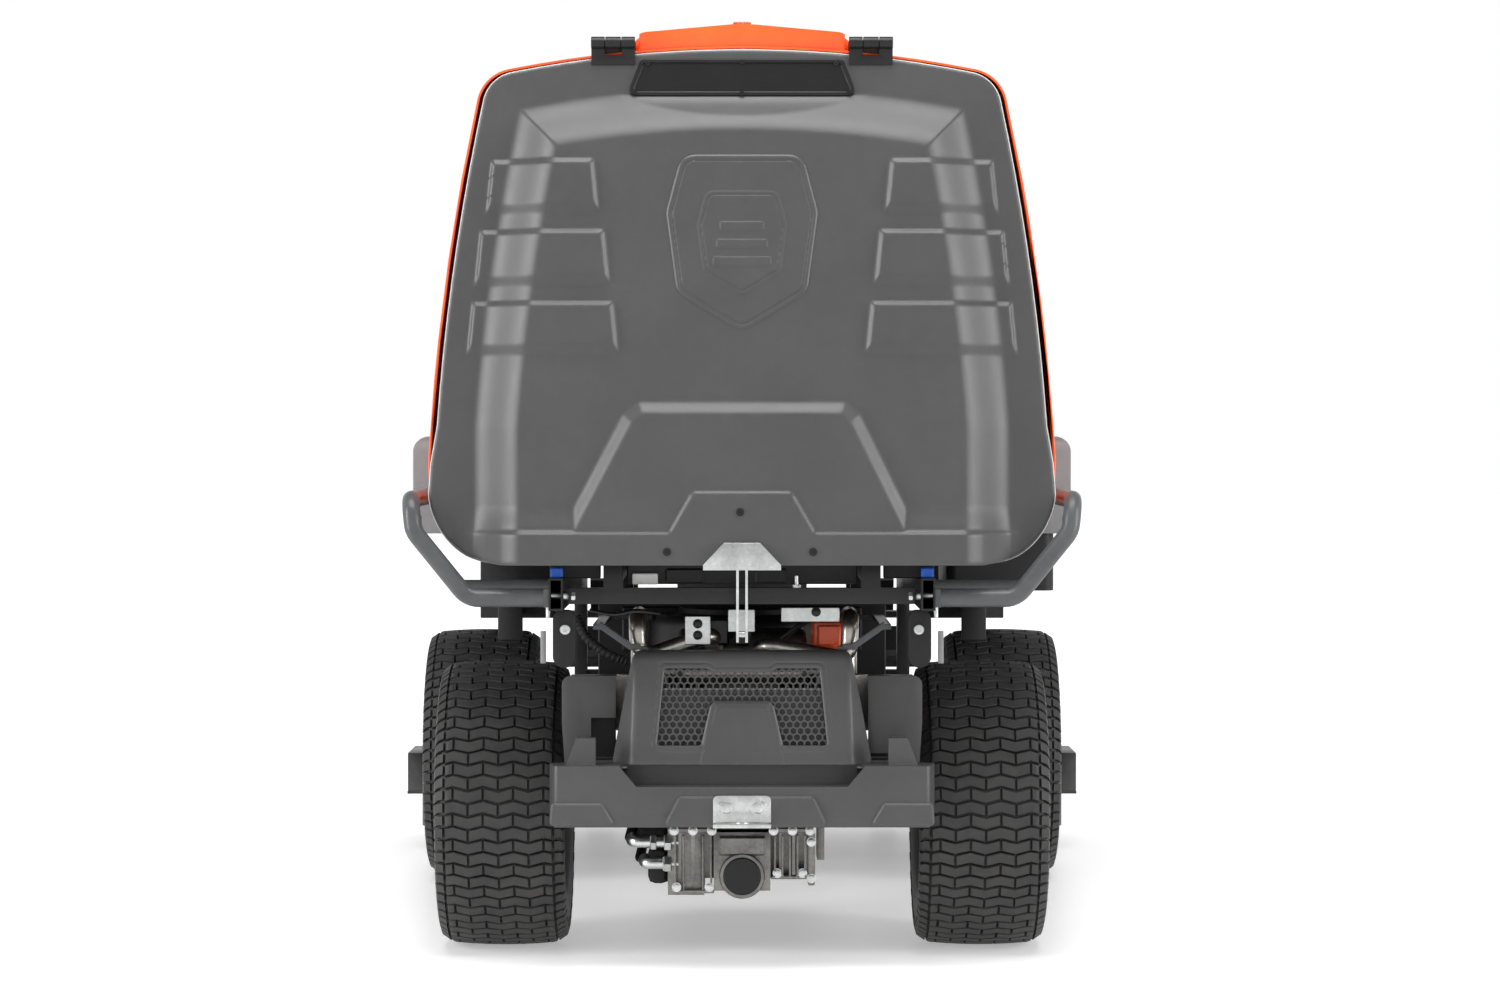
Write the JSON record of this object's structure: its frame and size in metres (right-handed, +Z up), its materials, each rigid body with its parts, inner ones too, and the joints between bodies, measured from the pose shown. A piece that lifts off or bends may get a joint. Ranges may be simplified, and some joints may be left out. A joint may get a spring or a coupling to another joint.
{
  "type": "ride-on collector mower",
  "caption": "Articulated ride-on mower with a front cutting deck, rear engine section and a tipping grass collector with a top-hinged door.",
  "frame": {"origin": "on the ground under the middle of the machine's bounding box", "axes": "+Z up, +Y the way the machine drives, +X its right-hand side"},
  "size_m": [1.33, 2.35, 1.4769],
  "materials": {
    "bin_orange": "glossy moulded orange",
    "door_grey": "fine-textured dark grey",
    "vent_black": "fine black mesh panel",
    "lens_red": "red lens",
    "frame_black": "satin black powder coat",
    "tube_grey": "grey enamel tube",
    "bumper_grey": "fine-textured dark grey",
    "mesh_black": "black expanded mesh",
    "console_grey": "light grey moulded",
    "black_plastic": "black moulded",
    "rubber_black": "black rubber",
    "tyre_rubber": "black turf tyre",
    "rim_paint": "silver-grey enamel",
    "deck_black": "satin black enamel",
    "cast_alloy": "raw casting",
    "exhaust_steel": "aluminised steel tube",
    "zinc": "bright zinc plate",
    "blade_steel": "oiled steel",
    "seat_vinyl": "black vinyl",
    "wheel_grip": "soft black grip",
    "lamp_glass": "clear lens"
  },
  "bodies": {
    "front_chassis": {"front_frame": "frame_black", "pivot_pin": "frame_black", "front_transaxle": "cast_alloy", "collector_subframe": "frame_black", "tip_bolts": "zinc", "guard_rails": "tube_grey", "rubber_stops": "rubber_black", "side_console_left": "console_grey", "side_console_right": "console_grey", "fuel_tank": "black_plastic", "mudguards": "black_plastic", "floor_pan": "rubber_black", "grass_duct": "black_plastic", "steering_column": "frame_black", "dash_cover": "bumper_grey", "headlamps": "lamp_glass", "seat_base": "frame_black"},
    "steering": {"steering_wheel": "wheel_grip"},
    "seat": {"seat_pan": "black_plastic", "seat_cushion": "seat_vinyl", "seat_back": "seat_vinyl"},
    "collector_bin": {"bin_shell": "bin_orange", "bin_hood": "bin_orange", "top_lens": "lens_red", "tip_frame": "frame_black", "bin_hinges": "frame_black"},
    "collector_door": {"door_panel": "door_grey", "door_vent": "vent_black", "door_hinges": "frame_black", "door_striker": "zinc"},
    "rear_section": {"rear_frame": "frame_black", "engine_block": "cast_alloy", "fan_housing": "black_plastic", "exhaust_system": "exhaust_steel", "rear_transaxle": "cast_alloy", "transaxle_cap": "vent_black", "hydraulic_lines": "rubber_black", "grille_cover": "bumper_grey", "grille_mesh": "mesh_black", "rear_apron": "bumper_grey", "bumper": "bumper_grey", "tow_plate": "zinc", "cover_braces": "tube_grey"},
    "wheel_rear_left": {"tyre_rear_left": "tyre_rubber", "rim_rear_left": "rim_paint"},
    "wheel_rear_right": {"tyre_rear_right": "tyre_rubber", "rim_rear_right": "rim_paint"},
    "wheel_front_left": {"tyre_front_left": "tyre_rubber", "rim_front_left": "rim_paint"},
    "wheel_front_right": {"tyre_front_right": "tyre_rubber", "rim_front_right": "rim_paint"},
    "cutting_deck": {"deck_shell": "deck_black", "spindle_housings": "frame_black", "belt_cover": "black_plastic", "lift_frame": "frame_black"},
    "left_blade": {"blade_left": "blade_steel"},
    "centre_blade": {"blade_centre": "blade_steel"},
    "right_blade": {"blade_right": "blade_steel"},
    "brake": {"brake_pedal": "black_plastic"},
    "drive": {"drive_pedal": "black_plastic"}
  },
  "joints": [
    {"name": "articulation", "type": "hinge", "parent": "front_chassis", "child": "rear_section", "pos_m": [0, -0.29, 0.32], "axis": [0, 0, 1], "range_deg": [-30, 30]},
    {"name": "steering_turn", "type": "hinge", "parent": "front_chassis", "child": "steering", "pos_m": [0, 0.17935, 0.90699], "axis": [0, -0.4695, 0.8829], "range_deg": [-270, 270]},
    {"name": "seat_slide", "type": "slide", "parent": "front_chassis", "child": "seat", "axis": [0, 1, 0], "range_m": [0, 0.1]},
    {"name": "bin_tip", "type": "hinge", "parent": "front_chassis", "child": "collector_bin", "pos_m": [0, -1.108, 0.582], "axis": [1, 0, 0], "range_deg": [0, 70]},
    {"name": "door_open", "type": "hinge", "parent": "collector_bin", "child": "collector_door", "pos_m": [0, -1.102, 1.44], "axis": [-1, 0, 0], "range_deg": [0, 80]},
    {"name": "rear_left_spin", "type": "hinge", "parent": "rear_section", "child": "wheel_rear_left", "pos_m": [-0.385, -0.79, 0.2315], "axis": [1, 0, 0], "continuous": true},
    {"name": "rear_right_spin", "type": "hinge", "parent": "rear_section", "child": "wheel_rear_right", "pos_m": [0.385, -0.79, 0.2315], "axis": [1, 0, 0], "continuous": true},
    {"name": "front_left_spin", "type": "hinge", "parent": "front_chassis", "child": "wheel_front_left", "pos_m": [-0.483, 0.21, 0.2315], "axis": [1, 0, 0], "continuous": true},
    {"name": "front_right_spin", "type": "hinge", "parent": "front_chassis", "child": "wheel_front_right", "pos_m": [0.483, 0.21, 0.2315], "axis": [1, 0, 0], "continuous": true},
    {"name": "deck_lift", "type": "hinge", "parent": "front_chassis", "child": "cutting_deck", "pos_m": [0, 0.36, 0.34], "axis": [1, 0, 0], "range_deg": [0, 75]},
    {"name": "centre_blade_spin", "type": "hinge", "parent": "cutting_deck", "child": "centre_blade", "pos_m": [0, 0.9415, 0.12], "axis": [0, 0, 1], "continuous": true},
    {"name": "left_blade_spin", "type": "hinge", "parent": "cutting_deck", "child": "left_blade", "pos_m": [-0.372, 0.7295, 0.12], "axis": [0, 0, 1], "continuous": true},
    {"name": "right_blade_spin", "type": "hinge", "parent": "cutting_deck", "child": "right_blade", "pos_m": [0.372, 0.7295, 0.12], "axis": [0, 0, 1], "continuous": true},
    {"name": "brake_press", "type": "hinge", "parent": "front_chassis", "child": "brake", "pos_m": [-0.25, 0.455, 0.45], "axis": [-1, 0, 0], "range_deg": [0, 25], "stiffness_Nm_per_rad": 8, "springref_deg": -5.73},
    {"name": "drive_press", "type": "hinge", "parent": "front_chassis", "child": "drive", "pos_m": [0.25, 0.455, 0.45], "axis": [-1, 0, 0], "range_deg": [0, 25], "stiffness_Nm_per_rad": 8, "springref_deg": -5.73}
  ],
  "couplings": [
    {"joint": "steering_turn", "follows": "articulation", "ratio": -9},
    {"joint": "left_blade_spin", "follows": "centre_blade_spin", "ratio": 1},
    {"joint": "right_blade_spin", "follows": "centre_blade_spin", "ratio": 1}
  ]
}
